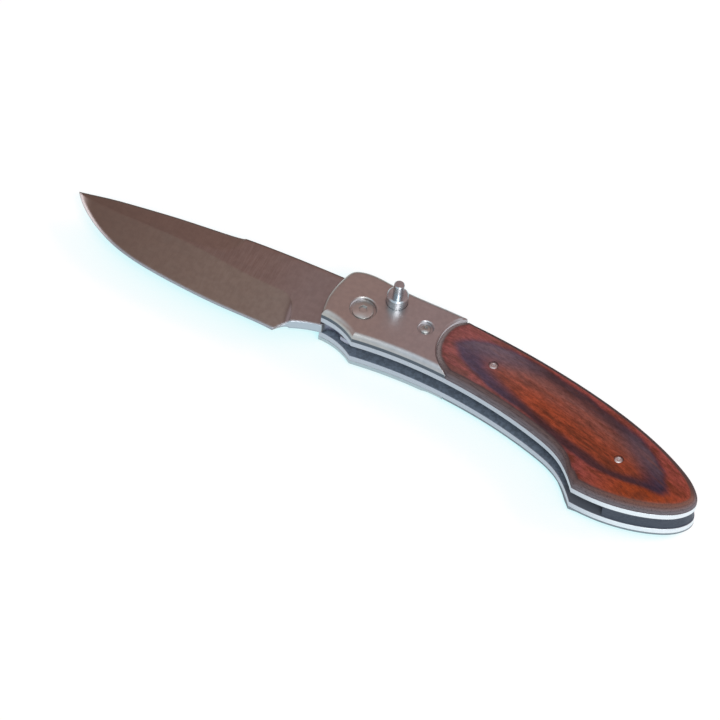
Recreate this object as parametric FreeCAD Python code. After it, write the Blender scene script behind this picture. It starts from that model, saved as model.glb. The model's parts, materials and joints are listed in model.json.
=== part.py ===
import FreeCAD, Part
import math
import os

# Push-button folding knife with a plunge lock, lying open on its side. Lengths are millimetres.
# In plan the pivot axis is the zero point, the tip points to -X and the backs of blade and handle to +Y.
# The blade's middle plane is z = 0 until the finished pieces are set down on their resting surface.

# Layers through the handle
blade_thickness = 3.2
washer_thickness = 0.5
side_clearance = 0.1  # between the blade and each washer
liner_thickness = 2.0
liner_edge_round = 0.2
cover_thickness = 3.1  # bolsters and scales

# Fits and cuts
running_clearance = 0.06  # radial, where one piece turns or slides in another
seam_gap = 0.05  # between fixed pieces that lie side by side
overrun = 1.0  # how far a cut runs past the faces it cuts

# Place of the frame's origin, seen from the pivot axis
origin_behind_pivot = 50.0
origin_below_pivot = 3.0

# Handle
butt_length = 19.55  # handle behind the folded blade's tip
nose_length = 10.4  # pivot to front edge
back_wall = 1.3  # metal above the stop pin
handle_depth = 39.3  # back to the lowest point of the butt

# Bolsters
bolster_length = 22.5  # pivot to the nearest point of the joint with the scale
bolster_joint_bow = 12.2  # how far the joint bends back towards its ends
bolster_joint_height = 1.4  # the joint's nearest point above the pivot
bolster_round = 1.7
bolster_joint_chamfer = 0.5

# Scales
scale_bevel = 2.3
rim_most_share = 0.85  # of the cover's thickness, that a rounded or bevelled rim may take

# Blade
blade_length = 86.85  # pivot to tip
tip_height = 4.85
spine_step = 0.9  # the spine lies this far below the handle's back
heel_depth = 13.2
edge_thickness = 0.12
edge_bevel_width = 0.5
edge_bevel_thickness = 0.36
ricasso_length = 17.6
ricasso_depth = 9.4
tang_radius = 8.0
fold_angle = 170.0  # degrees

# Pivot
pivot_radius = 2.5
pivot_head_radius = 3.0
pivot_head_height = 1.0
pivot_head_rim = 0.45  # straight side under the dome
pivot_thread_radius = 1.5
pivot_thread_depth = 8.5
pivot_clamp_gap = 0.4  # the sleeve stops this short of the screw head
pivot_socket = 2.2  # across flats
pivot_socket_depth = 0.6
well_gap = 0.65  # round a screw head in its well in the bolster
well_chamfer = 0.25  # on the well's rim
head_recess = 0.15  # a head's crown lies this far under the bolster's face

# Stop pin
stop_pin_radius = 1.25
stop_pin_end_radius = 1.0
stop_pin_ahead = 1.5
stop_gap = 0.06
tang_clearance = 0.3  # between the tang's round end and the stop pin

# Lock button
button_angle = 41.5  # degrees up from the handle's line
button_travel = 1.8
button_post_radius = 1.45
button_post_height = 4.5
button_post_chamfer = 0.22
button_collar_radius = 3.0
button_collar_height = 3.3  # above the bolster
button_collar_chamfer = 0.38
button_shoulder_radius = 3.7
shoulder_clearance = 0.15  # between the pressed shoulder and the blade
button_neck_radius = 1.35
lock_radius = 2.8
lock_engagement = 1.16  # how deep the lock sits in the tang
lock_clearance = 0.2  # between the lock's top and the land that passes over it
notch_clearance = 0.25
washer_clearance = 0.24  # between the button and the washers
spigot_radius = 1.2
spigot_height = 0.8

# Springs
button_spring_radius = 2.5
button_spring_wire = 0.25
button_spring_turns = 3.5
button_spring_floor = 1.0  # metal left under the spring in the lower bolster
opening_spring_wire = 0.3
opening_spring_turns = 1.75
opening_spring_leg = 1.2  # into the liner
opening_spring_bend = 0.6  # between the coil and each leg
opening_spring_angle = 200.0  # degrees, where the coil starts
spring_play = 0.15
spring_room = 0.7  # inside and outside the coil, which swells as the blade folds
spring_pocket_floor = 1.0  # tang left under the pocket

# Backspacer
spacer_start = 31.0
spacer_inset = 0.3  # its outside lies this far inside the liners
well_angle = 2.0  # degrees of room past the folded edge
tip_clearance = 0.8
spacer_pin_radius = 0.9

# Small screws
bolster_screw_height = 2.0
bolster_screw_head_radius = 1.5
bolster_screw_head_height = 0.75
bolster_screw_head_rim = 0.3  # straight side under the dome
scale_screw_head_radius = 1.35
scale_screw_head_height = 1.1
scale_screw_head_rim = 0.7
scale_screw_recess = 0.05
small_thread_radius = 0.9
small_thread_short = 0.3  # the thread's end stays this far inside the liner
small_socket = 1.1
small_socket_depth = 0.5

half_blade = blade_thickness / 2
liner_in = half_blade + side_clearance + washer_thickness
liner_out = liner_in + liner_thickness
cover_out = liner_out + cover_thickness
rim_most = rim_most_share * cover_thickness
pivot_bore = pivot_radius + running_clearance
opening_spring_radius = pivot_radius + spring_room + opening_spring_wire
spring_pocket_radius = opening_spring_radius + opening_spring_wire + spring_room
spring_pocket_depth = blade_thickness - spring_pocket_floor
button_distance = tang_radius + lock_radius - lock_engagement
washer_radius = button_distance - max(lock_radius, button_shoulder_radius) - washer_clearance
stop_pin_height = tang_radius + tang_clearance + stop_pin_radius
back_height = stop_pin_height + stop_pin_radius + back_wall
spine_height = back_height - spine_step
handle_length = blade_length + butt_length

# Outline of the handle, as shares of its length behind the pivot, or of the nose ahead of it, and of its
# depth down from the back
front_shares = ((0.923, 0.463), (1.0, 0.303), (0.865, 0.107), (0.74, 0.036), (0.5, 0.004))
back_shares = (
    (0.04, 0.01),
    (0.2, 0.027),
    (0.404, 0.074),
    (0.587, 0.162),
    (0.78, 0.311),
    (0.921, 0.489),
    (0.982, 0.62),
    (1.0, 0.722),
    (0.98, 0.828),
    (0.93, 0.913),
    (0.836, 0.984),
    (0.761, 1.0),
    (0.695, 0.987),
)
belly_shares = (
    (0.695, 0.987),
    (0.669, 0.9),
    (0.625, 0.793),
    (0.545, 0.697),
    (0.437, 0.616),
    (0.315, 0.557),
    (0.169, 0.529),
    (0.075, 0.537),
    (0.01, 0.555),
)
guard_shares = ((0.154, 0.512), (0.5, 0.477), (0.923, 0.463))

# Blade sections: share of the length, spine above the tip, ridge between edge and spine, edge below the
# tip, and thickness at the ridge
blade_shares = (
    (0.2, 1.0, 0.5, 1.0, 1.0),
    (0.3, 0.99, 0.51, 0.977, 1.0),
    (0.42, 0.94, 0.54, 0.964, 1.0),
    (0.55, 0.818, 0.61, 0.92, 1.0),
    (0.68, 0.652, 0.66, 0.842, 1.0),
    (0.8, 0.434, 0.67, 0.702, 0.92),
    (0.9, 0.236, 0.67, 0.46, 0.7),
    (0.96, 0.09, 0.67, 0.232, 0.42),
    (1.0, 0.0, 0.67, 0.0, 0.16),
)
# Where the bevel runs out at the plunge, and the swedge at the spine: share of the blade's length, and of
# the width from edge to spine there
plunge_shares = ((0.2, 0.16), (0.208, 0.28), (0.226, 0.42), (0.26, 0.505))
swedge_shares = ((0.454, 1.0), (0.462, 0.865), (0.478, 0.783), (0.5, 0.728), (0.55, 0.685), (0.61, 0.667))
swedge_slope_share = 0.13  # fall of the swedge for its width
heel_share = 0.239  # of the blade's length
choil_shares = (1.09, 1.17)  # middle of the choil, of the ricasso's length and depth
ricasso_shares = (0.69, 0.777)  # middle of the ricasso's underside
tip_end_share = 1.004
edge_bevel_most_share = 0.4  # of the width from edge to ridge, near the tip
scale_screw_shares = ((0.369, 0.33), (0.772, 0.663))
back_pin_shares = (0.51, 0.7)
butt_pin_shares = (0.9, 0.56)
# The joint between bolster and scale, from its nearest point: share of its bow behind, and of the handle's
# depth to the side
joint_shares = (
    (1.15, -0.388),
    (0.632, -0.289),
    (0.2, -0.186),
    (0.0, 0.0),
    (0.2, 0.186),
    (0.632, 0.289),
    (1.15, 0.388),
)
bolster_screw_share = 0.79  # of the bolster's length
well_depth_share = 1.3  # the cut for the blade's well, of the handle's depth
spacer_outline_points = 40  # on each curve of the spacer's outline


def point(x, y, z=0):
    return FreeCAD.Vector(x, y, z)


up = point(0, 0, 1)


def polar(distance, angle, z=0):
    turn = math.radians(angle)
    return point(distance * math.cos(turn), distance * math.sin(turn), z)


def curve(points):
    spline = Part.BSplineCurve()
    spline.interpolate(points)
    return spline.toShape()


def arc(start, middle, end):
    return Part.Arc(start, middle, end).toShape()


def straight(*points):
    return [Part.LineSegment(a, b).toShape() for a, b in zip(points, points[1:])]


def prism(edges, bottom, top):
    face = Part.Face(Part.Wire(edges))
    face.translate(point(0, 0, bottom))
    return face.extrude(point(0, 0, top - bottom))


def disc(centre, radius, bottom, top):
    return Part.makeCylinder(radius, top - bottom, point(centre.x, centre.y, bottom))


def turned(centre, profile):
    wire = Part.makePolygon([point(radius, 0, z) for radius, z in profile + profile[:1]])
    solid = Part.Face(wire).revolve(point(0, 0), up, 360)
    solid.translate(centre)
    return solid


def coil(centre, radius, bottom, top, turns, start_angle):
    """Path of a wire wound in quarter turns from bottom to top, each an arc through three points."""
    count = round(4 * turns)

    def on_coil(step):
        share = step / count
        return centre + polar(radius, start_angle + share * 360 * turns, bottom + share * (top - bottom))

    return [arc(on_coil(i), on_coil(i + 1 / 2), on_coil(i + 1)) for i in range(count)]


def bend(corner, before, after, radius):
    """Arc that turns a wire at a corner, from one direction to the other."""
    turn = before.getAngle(after)
    reach = radius * math.tan(turn / 2)
    middle = (after - before).normalize() * radius * (1 / math.cos(turn / 2) - 1)
    return arc(corner - before * reach, corner + middle, corner + after * reach)


def wire_along(edges, radius):
    start = edges[0].valueAt(edges[0].FirstParameter)
    ring = Part.Circle(start, edges[0].tangentAt(edges[0].FirstParameter), radius)
    return Part.Wire(edges).makePipeShell([Part.Wire(ring.toShape())], True, False)


def hexagon(centre, across, bottom, top):
    corners = [centre + polar(across / math.sqrt(3), 60 * i) for i in range(7)]
    return prism(Part.makePolygon(corners).Edges, bottom, top)


def domed_head(centre, radius, rim, height, seat):
    """Screw head with a straight rim and a dome, standing on its seat."""
    crown = height - rim
    ball = (radius**2 + crown**2) / (2 * crown)
    dome = Part.makeSphere(ball, point(centre.x, centre.y, seat + height - ball))
    return disc(centre, radius, seat, seat + height).common(dome)


def other_side(solid):
    return solid.mirror(point(0, 0), up)


def handle_point(along_share, down_share):
    return point(along_share * handle_length, back_height - down_share * handle_depth)


def nose_point(ahead_share, down_share):
    return point(-ahead_share * nose_length, back_height - down_share * handle_depth)


def handle_edges():
    outside = [nose_point(*share) for share in front_shares]
    outside += [handle_point(*share) for share in back_shares]
    belly = [handle_point(*share) for share in belly_shares]
    guard = belly[-1:] + [nose_point(*share) for share in guard_shares]
    return [curve(outside), curve(belly), curve(guard)]


def handle_plate(bottom, top):
    return prism(handle_edges(), bottom, top)


def lies_at(edge, z):
    return all(abs(p.Point.z - z) < seam_gap for p in edge.Vertexes)


def height_on(line, x):
    """Height of a line of points over a place along the handle."""
    left, right = next((a, b) for a, b in zip(line, line[1:]) if a.x <= x <= b.x)
    return left.y + (right.y - left.y) * (x - left.x) / (right.x - left.x)


pivot = point(0, 0)
button = polar(button_distance, button_angle)
stop_pin_place = point(-stop_pin_ahead, stop_pin_height)
bolster_screw_place = point(bolster_screw_share * bolster_length, bolster_screw_height)
scale_screw_places = [handle_point(*share) for share in scale_screw_shares]
spring_end_angle = opening_spring_angle + 360 * opening_spring_turns
tang_leg_place = polar(opening_spring_radius, opening_spring_angle)
tang_leg_place -= polar(opening_spring_bend, opening_spring_angle + 90)
liner_leg_place = polar(opening_spring_radius, spring_end_angle)
liner_leg_place += polar(opening_spring_bend, spring_end_angle + 90)
leg_hole = opening_spring_wire + spring_play
head_seat = cover_out - head_recess - pivot_head_height
bolster_seat = cover_out - head_recess - bolster_screw_head_height
scale_seat = cover_out - scale_screw_recess - scale_screw_head_height
shoulder_top = liner_out - seam_gap
shoulder_bottom = half_blade + shoulder_clearance + button_travel
lock_top = button_travel - half_blade - lock_clearance - seam_gap
lock_bottom = button_travel - liner_out + seam_gap
button_spring_seat = -cover_out + button_spring_floor


def blade_section(along_share):
    """Spine, edge and half thickness at the ridge, at a share of the blade's length."""
    near, far = next((a, b) for a, b in zip(blade_shares, blade_shares[1:]) if along_share <= b[0])
    mix = (along_share - near[0]) / (far[0] - near[0])
    spine, ridge, edge, thick = (n + mix * (f - n) for n, f in zip(near[1:], far[1:]))
    spine_y = tip_height + spine * (spine_height - tip_height)
    edge_y = tip_height - edge * (tip_height + heel_depth)
    return spine_y, edge_y, edge_y + ridge * (spine_y - edge_y), thick * half_blade


def edge_points():
    """The cutting edge, from the tip back to the heel."""
    along = [row[0] for row in reversed(blade_shares) if row[0] > heel_share]
    points = [point(-share * blade_length, blade_section(share)[1]) for share in along]
    return points + [point(-heel_share * blade_length, -heel_depth)]


def blade_outline():
    shoulder_x = -stop_pin_ahead - stop_pin_radius - stop_gap
    shoulder_top_point = point(shoulder_x, blade_section(blade_shares[1][0])[0])
    shoulder_root = point(shoulder_x, math.sqrt(tang_radius**2 - shoulder_x**2))
    spine = [point(-row[0] * blade_length, blade_section(row[0])[0]) for row in blade_shares]
    edge = edge_points()
    choil = point(-choil_shares[0] * ricasso_length, -choil_shares[1] * ricasso_depth)
    ricasso = point(-ricasso_length, -ricasso_depth)
    underside = point(-ricasso_shares[0] * ricasso_length, -ricasso_shares[1] * ricasso_depth)
    tang_start = polar(tang_radius, button_angle - fold_angle)
    return [
        curve([shoulder_top_point] + spine),
        curve(edge),
        arc(edge[-1], choil, ricasso),
        arc(ricasso, underside, tang_start),
        arc(tang_start, point(tang_radius, 0), shoulder_root),
        *straight(shoulder_root, shoulder_top_point),
    ]


def well_edge():
    """The blade's edge, folded and then turned on by the well's room, from the heel towards the tip."""
    folded = FreeCAD.Rotation(up, fold_angle + well_angle)
    return [folded.multVec(place) for place in edge_points()[:0:-1]]


def spacer_pin_places():
    """Two pins midway between the back and the folded edge, and one in the butt."""
    back = [handle_point(*share) for share in back_shares]
    places = [handle_point(*butt_pin_shares)]
    for along_share in back_pin_shares:
        along = along_share * handle_length
        places.append(point(along, (height_on(back, along) + height_on(well_edge(), along)) / 2))
    return places


def section_wire(along_share, corners):
    x = -along_share * blade_length
    return Part.makePolygon([point(x, y, z) for y, z in corners + corners[:1]])


def bevel_section(along_share, ridge_y, ridge_z, edge_y):
    """Section of what the grind takes away above the bevel and the narrow bevel at the edge."""
    narrow = min(edge_bevel_width, edge_bevel_most_share * (ridge_y - edge_y))
    narrow_z = edge_bevel_thickness / 2
    slope = (ridge_z - narrow_z) / (ridge_y - edge_y - narrow)
    edge_slope = (narrow_z - edge_thickness / 2) / narrow
    high = half_blade + overrun
    return section_wire(along_share, [
        (ridge_y + overrun, ridge_z + slope * overrun),
        (edge_y + narrow, narrow_z),
        (edge_y - overrun, edge_thickness / 2 - edge_slope * overrun),
        (edge_y - overrun, high),
        (ridge_y + overrun, high),
    ])


def bevel_cut():
    """The main bevel on one side: the curved run-out at the plunge, then the long face to the tip."""
    plunge = []
    for along_share, ridge_share in plunge_shares:
        spine_y, edge_y, _, ridge_z = blade_section(along_share)
        ridge_y = edge_y + ridge_share * (spine_y - edge_y)
        plunge.append(bevel_section(along_share, ridge_y, ridge_z, edge_y))
    face = [plunge[-1]]
    for along_share in [row[0] for row in blade_shares if plunge_shares[-1][0] < row[0] < 1]:
        _, edge_y, ridge_y, ridge_z = blade_section(along_share)
        face.append(bevel_section(along_share, ridge_y, ridge_z, edge_y))
    tip_z = blade_shares[-1][4] * half_blade
    face.append(bevel_section(tip_end_share, tip_height + edge_bevel_width, tip_z + seam_gap, tip_height))
    return Part.makeLoft(plunge, True, False), Part.makeLoft(face, True, False)


def swedge_section(along_share, low_y, low_z, spine_y):
    """Section of what the false edge takes away, from its lower line up to the spine."""
    high = half_blade + overrun
    return section_wire(along_share, [
        (low_y - overrun, low_z + swedge_slope_share * overrun),
        (spine_y + overrun, low_z - swedge_slope_share * (spine_y + overrun - low_y)),
        (spine_y + overrun, high),
        (low_y - overrun, high),
    ])


def swedge_cut():
    wires = []
    for along_share, low_share in swedge_shares:
        spine_y, edge_y, _, ridge_z = blade_section(along_share)
        wires.append(swedge_section(along_share, edge_y + low_share * (spine_y - edge_y), ridge_z, spine_y))
    for along_share in [row[0] for row in blade_shares if swedge_shares[-1][0] < row[0] < 1]:
        spine_y, _, ridge_y, ridge_z = blade_section(along_share)
        wires.append(swedge_section(along_share, ridge_y, ridge_z, spine_y))
    tip_z = blade_shares[-1][4] * half_blade
    wires.append(swedge_section(tip_end_share, tip_height, tip_z, tip_height))
    return Part.makeLoft(wires, True, False)


def lock_notches():
    """The open and closed notches, and the lower relief between them that clears the raised lock."""
    notch_radius = lock_radius + notch_clearance
    low, high = -half_blade - overrun, half_blade + overrun
    open_notch = disc(button, notch_radius, low, high)
    closed_notch = disc(polar(button_distance, button_angle - fold_angle), notch_radius, low, high)
    relief_top = lock_top + lock_clearance
    outer = Part.makeCylinder(tang_radius + overrun, relief_top - low, point(0, 0, low), up, fold_angle)
    outer.rotate(pivot, up, button_angle - fold_angle)
    inner = disc(pivot, button_distance - notch_radius, low, relief_top)
    return [open_notch, closed_notch, outer.cut(inner)]


def blade():
    solid = prism(blade_outline(), -half_blade, half_blade)
    cuts = [*bevel_cut(), swedge_cut()]
    cuts += [other_side(cut) for cut in cuts]
    cuts += lock_notches()
    cuts.append(disc(pivot, pivot_bore, -half_blade - overrun, half_blade + overrun))
    cuts.append(disc(pivot, spring_pocket_radius, half_blade - spring_pocket_depth, half_blade + overrun))
    cuts.append(disc(tang_leg_place, leg_hole, -half_blade - overrun, half_blade))
    for cut in cuts:
        solid = solid.cut(cut)
    return solid.removeSplitter()


def washer(bottom):
    ring = disc(pivot, washer_radius, bottom, bottom + washer_thickness)
    return ring.cut(disc(pivot, pivot_bore, bottom - overrun, bottom + washer_thickness + overrun))


def washer_top():
    leg = disc(liner_leg_place, leg_hole, 0, liner_in + overrun)
    return washer(liner_in - washer_thickness).cut(leg)


def washer_bottom():
    return washer(-liner_in)


def pivot_head():
    return domed_head(pivot, pivot_head_radius, pivot_head_rim, pivot_head_height, head_seat)


def pivot_barrel():
    """Sleeve with a domed head in the lower bolster, threaded for the screw."""
    solid = disc(pivot, pivot_radius, -head_seat, head_seat - pivot_clamp_gap)
    solid = solid.fuse(other_side(pivot_head()))
    thread = pivot_thread_radius + seam_gap
    solid = solid.cut(disc(pivot, thread, head_seat - pivot_thread_depth - overrun, head_seat))
    bottom = -head_seat - pivot_head_height
    return solid.cut(hexagon(pivot, pivot_socket, bottom - overrun, bottom + pivot_socket_depth))


def pivot_screw():
    solid = pivot_head().fuse(disc(pivot, pivot_thread_radius, head_seat - pivot_thread_depth, head_seat))
    top = head_seat + pivot_head_height
    return solid.cut(hexagon(pivot, pivot_socket, top - pivot_socket_depth, top + overrun))


def stop_pin():
    return turned(stop_pin_place, [
        (0, -liner_out),
        (stop_pin_end_radius, -liner_out),
        (stop_pin_end_radius, -liner_in),
        (stop_pin_radius, -liner_in),
        (stop_pin_radius, liner_in),
        (stop_pin_end_radius, liner_in),
        (stop_pin_end_radius, liner_out),
        (0, liner_out),
    ])


def lock_button():
    collar_top = cover_out + button_collar_height
    post_top = collar_top + button_post_height
    spigot_bottom = lock_bottom - spigot_height
    return turned(button, [
        (0, post_top),
        (button_post_radius - button_post_chamfer, post_top),
        (button_post_radius, post_top - button_post_chamfer),
        (button_post_radius, collar_top),
        (button_collar_radius - button_collar_chamfer, collar_top),
        (button_collar_radius, collar_top - button_collar_chamfer),
        (button_collar_radius, shoulder_top),
        (button_shoulder_radius, shoulder_top),
        (button_shoulder_radius, shoulder_bottom),
        (button_neck_radius, shoulder_bottom),
        (button_neck_radius, lock_top),
        (lock_radius, lock_top),
        (lock_radius, lock_bottom),
        (spigot_radius, lock_bottom),
        (spigot_radius, spigot_bottom),
        (0, spigot_bottom),
    ])


def button_spring():
    low = button_spring_seat + button_spring_wire + seam_gap
    high = lock_bottom - button_spring_wire - seam_gap
    turns = coil(button, button_spring_radius, low, high, button_spring_turns, 0)
    return wire_along(turns, button_spring_wire)


def bend_reach(direction):
    return opening_spring_bend * math.tan(up.getAngle(direction) / 2)


def opening_spring():
    """Torsion coil in the tang's pocket, one leg down in the tang and one up in the liner."""
    low = half_blade - spring_pocket_depth + leg_hole
    high = half_blade - opening_spring_wire
    turns = coil(pivot, opening_spring_radius, low, high, opening_spring_turns, opening_spring_angle)
    start, end = turns[0].firstVertex(True).Point, turns[-1].lastVertex(True).Point
    ahead = turns[0].tangentAt(turns[0].FirstParameter)
    onward = turns[-1].tangentAt(turns[-1].LastParameter)
    into = bend(start - ahead * bend_reach(ahead), up, ahead, opening_spring_bend)
    out = bend(end + onward * bend_reach(onward), onward, up, opening_spring_bend)
    foot, head = into.firstVertex(True).Point, out.lastVertex(True).Point
    foot_leg = straight(point(foot.x, foot.y, -half_blade), foot)
    head_leg = straight(head, point(head.x, head.y, liner_in + opening_spring_leg))
    return wire_along([*foot_leg, into, *turns, out, *head_leg], opening_spring_wire)


def liner(bottom, button_hole):
    """Steel plate with holes for pivot, button, stop pin, spacer pins and the covers' screws."""
    top = bottom + liner_thickness
    solid = handle_plate(bottom, top)
    rim = [e for e in solid.Edges if lies_at(e, bottom) or lies_at(e, top)]
    solid = solid.makeFillet(liner_edge_round, rim)
    holes = [(pivot, pivot_bore), (button, button_hole), (stop_pin_place, stop_pin_end_radius + seam_gap)]
    holes += [(place, spacer_pin_radius + seam_gap) for place in spacer_pin_places()]
    screw_places = [bolster_screw_place, *scale_screw_places]
    holes += [(place, small_thread_radius + seam_gap) for place in screw_places]
    for place, radius in holes:
        solid = solid.cut(disc(place, radius, bottom - overrun, top + overrun))
    return solid


def liner_top():
    solid = liner(liner_in, button_shoulder_radius + running_clearance)
    leg_top = liner_in + opening_spring_leg + spring_play
    return solid.cut(disc(liner_leg_place, leg_hole, 0, leg_top))


def liner_bottom():
    return liner(-liner_out, lock_radius + running_clearance)


def joint_points(ahead):
    start = point(bolster_length - ahead, bolster_joint_height)
    return [start + point(back * bolster_joint_bow, side * handle_depth) for back, side in joint_shares]


def behind_joint(ahead):
    """Everything behind the curved joint between bolster and scale."""
    line = joint_points(ahead)
    reach = handle_length + handle_depth
    corners = [(line[-1].x, reach), (reach, reach), (reach, -reach), (line[0].x, -reach)]
    rest = straight(line[-1], *[point(*corner) for corner in corners], line[0])
    return prism([curve(line), *rest], liner_out - overrun, cover_out + overrun)


def on_joint(edge, ahead):
    middle = edge.valueAt((edge.FirstParameter + edge.LastParameter) / 2)
    place = Part.Vertex(point(middle.x, middle.y))
    return curve(joint_points(ahead)).distToShape(place)[0] < seam_gap


def well(place, radius, seat):
    """What is cut away round a screw head in the bolster: a round well with an eased rim."""
    flare = well_chamfer + overrun
    rim = Part.makeCone(radius, radius + flare, flare, point(place.x, place.y, cover_out - well_chamfer))
    return disc(place, radius, seat, cover_out + overrun).fuse(rim)


def bolster():
    """Steel cover at the pivot end, outside rounded, with wells for the pivot head and its screw."""
    solid = handle_plate(liner_out, cover_out).cut(behind_joint(seam_gap))
    rim = [e for e in solid.Edges if lies_at(e, cover_out)]
    outside = [e for e in rim if not on_joint(e, seam_gap)]
    solid = solid.makeFillet(min(bolster_round, rim_most), outside)
    rim = [e for e in solid.Edges if lies_at(e, cover_out) and on_joint(e, seam_gap)]
    solid = solid.makeChamfer(min(bolster_joint_chamfer, rim_most), rim)
    cuts = [
        disc(pivot, pivot_bore, liner_out - overrun, cover_out),
        well(pivot, pivot_head_radius + well_gap, head_seat),
        disc(bolster_screw_place, small_thread_radius + seam_gap, liner_out - overrun, cover_out),
        well(bolster_screw_place, bolster_screw_head_radius + well_gap, bolster_seat),
    ]
    for cut in cuts:
        solid = solid.cut(cut)
    return solid


def bolster_top():
    hole = button_collar_radius + running_clearance
    return bolster().cut(disc(button, hole, liner_out - overrun, cover_out + overrun))


def bolster_bottom():
    pocket = button_spring_radius + button_spring_wire + spring_play
    return other_side(bolster()).cut(disc(button, pocket, button_spring_seat, -liner_out + overrun))


def scale_top():
    """Wood cover behind the joint, its whole outer rim bevelled, with wells for two screws."""
    solid = handle_plate(liner_out, cover_out).common(behind_joint(0))
    rim = [e for e in solid.Edges if lies_at(e, cover_out)]
    solid = solid.makeChamfer(min(scale_bevel, rim_most), rim)
    for place in scale_screw_places:
        solid = solid.cut(disc(place, small_thread_radius + seam_gap, liner_out - overrun, cover_out))
        solid = solid.cut(disc(place, scale_screw_head_radius + seam_gap, scale_seat, cover_out + overrun))
    return solid


def scale_bottom():
    return other_side(scale_top())


def small_screw(place, radius, rim, height, seat):
    solid = domed_head(place, radius, rim, height, seat)
    solid = solid.fuse(disc(place, small_thread_radius, liner_in + small_thread_short, seat))
    top = seat + height
    return solid.cut(hexagon(place, small_socket, top - small_socket_depth, top + overrun))


def bolster_screw_top():
    head = (bolster_screw_head_radius, bolster_screw_head_rim, bolster_screw_head_height, bolster_seat)
    return small_screw(bolster_screw_place, *head)


def bolster_screw_bottom():
    return other_side(bolster_screw_top())


def scale_screws_top():
    head = (scale_screw_head_radius, scale_screw_head_rim, scale_screw_head_height, scale_seat)
    return Part.makeCompound([small_screw(place, *head) for place in scale_screw_places])


def scale_screws_bottom():
    return other_side(scale_screws_top())


def blade_well():
    """Room between the liners for the folded blade, past its edge and round its tip's path."""
    reach = math.hypot(blade_length, tip_height) + tip_clearance
    edge = well_edge()
    tip_angle = math.degrees(math.atan2(tip_height, -blade_length)) + fold_angle + well_angle
    low_angle = tip_angle - math.degrees(math.asin(well_depth_share * handle_depth / reach)) / 2
    end_angle = 2 * low_angle - tip_angle
    tip = polar(reach, tip_angle)
    low = polar(reach, end_angle)
    return prism([
        curve(edge + [tip]),
        arc(tip, polar(reach, low_angle), low),
        *straight(low, point(edge[0].x, low.y), edge[0]),
    ], -liner_in - overrun, liner_in + overrun)


def backspacer():
    """Filler along the back and round the butt, clear of the folded blade."""
    inside = Part.Wire(handle_edges()).makeOffset2D(-spacer_inset)
    outline = [curve(edge.discretize(spacer_outline_points)) for edge in inside.OrderedEdges]
    solid = prism(outline, -liner_in, liner_in)
    reach = handle_length + handle_depth
    behind = Part.makeBox(reach, 2 * reach, 2 * liner_in, point(spacer_start, -reach, -liner_in))
    solid = solid.common(behind).cut(blade_well())
    hole = spacer_pin_radius + seam_gap
    for place in spacer_pin_places():
        solid = solid.cut(disc(place, hole, -liner_in - overrun, liner_in + overrun))
    return solid


def backspacer_pins():
    pins = [disc(place, spacer_pin_radius, -liner_out, liner_out) for place in spacer_pin_places()]
    return Part.makeCompound(pins)


pieces = (
    blade, washer_top, washer_bottom, pivot_barrel, pivot_screw, stop_pin, lock_button, button_spring,
    opening_spring, liner_top, liner_bottom, bolster_top, bolster_bottom, scale_top, scale_bottom,
    bolster_screw_top, bolster_screw_bottom, scale_screws_top, scale_screws_bottom, backspacer,
    backspacer_pins,
)

os.makedirs("parts", exist_ok=True)
for piece in pieces:
    shape = piece()
    shape.translate(point(-origin_behind_pivot, origin_below_pivot, cover_out))
    print(piece.__name__, len(shape.Solids), shape.isValid(), round(shape.Volume, 3))
    shape.exportStep(os.path.join("parts", piece.__name__ + ".step"))
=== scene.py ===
import json
import math

import bpy
import numpy as np
from mathutils import Matrix, Vector


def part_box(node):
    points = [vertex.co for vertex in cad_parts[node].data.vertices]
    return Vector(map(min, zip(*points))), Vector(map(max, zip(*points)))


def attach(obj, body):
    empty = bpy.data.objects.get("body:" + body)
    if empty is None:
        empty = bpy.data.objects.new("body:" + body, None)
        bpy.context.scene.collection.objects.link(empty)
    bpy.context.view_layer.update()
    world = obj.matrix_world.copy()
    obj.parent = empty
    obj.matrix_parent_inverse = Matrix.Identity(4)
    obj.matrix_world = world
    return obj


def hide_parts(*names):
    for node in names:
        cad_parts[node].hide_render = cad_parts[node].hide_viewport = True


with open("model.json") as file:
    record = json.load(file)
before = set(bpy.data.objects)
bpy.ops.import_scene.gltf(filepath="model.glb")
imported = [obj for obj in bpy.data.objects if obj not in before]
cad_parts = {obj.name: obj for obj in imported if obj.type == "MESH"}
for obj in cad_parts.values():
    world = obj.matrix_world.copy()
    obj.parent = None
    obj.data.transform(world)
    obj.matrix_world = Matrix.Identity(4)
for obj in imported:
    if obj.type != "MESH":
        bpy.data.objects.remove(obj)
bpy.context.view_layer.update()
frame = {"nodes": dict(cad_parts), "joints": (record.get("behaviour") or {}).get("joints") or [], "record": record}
nodes = frame["nodes"]
scene = bpy.context.scene
perMetre = 1000.0  # the frame is in metres, and lengths below that name no unit are millimetres
pivot = Vector(next(joint for joint in frame["joints"] if joint["type"] == "hinge")["pos_m"])
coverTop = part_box("bolster_top")[1].z
middleLevel = pivot.z * perMetre  # the blade's middle plane, which the handle is mirrored about
coverReach = coverTop * perMetre - middleLevel  # middle plane to the covers' outer faces
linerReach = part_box("liner_top")[1].z * perMetre - middleLevel
print("stage: frame loaded,", len(nodes), "nodes")

photoView = {
    "elevation": 53.0,  # degrees above the table
    "azimuth": 17.3,  # degrees round from the edge side towards the butt
    "roll": 8.5,  # degrees, level lines dip to the right
    "distance": 4.0,  # metres to the pivot
    "focalPixels": 14720.0,
    "imagePixels": 720.0,
    "pivotPixel": (363.3, 308.2),  # middle of the pivot screw's well
    "sensorMillimetres": 36.0,
    "clip": (0.1, 50.0),  # metres
}


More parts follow.
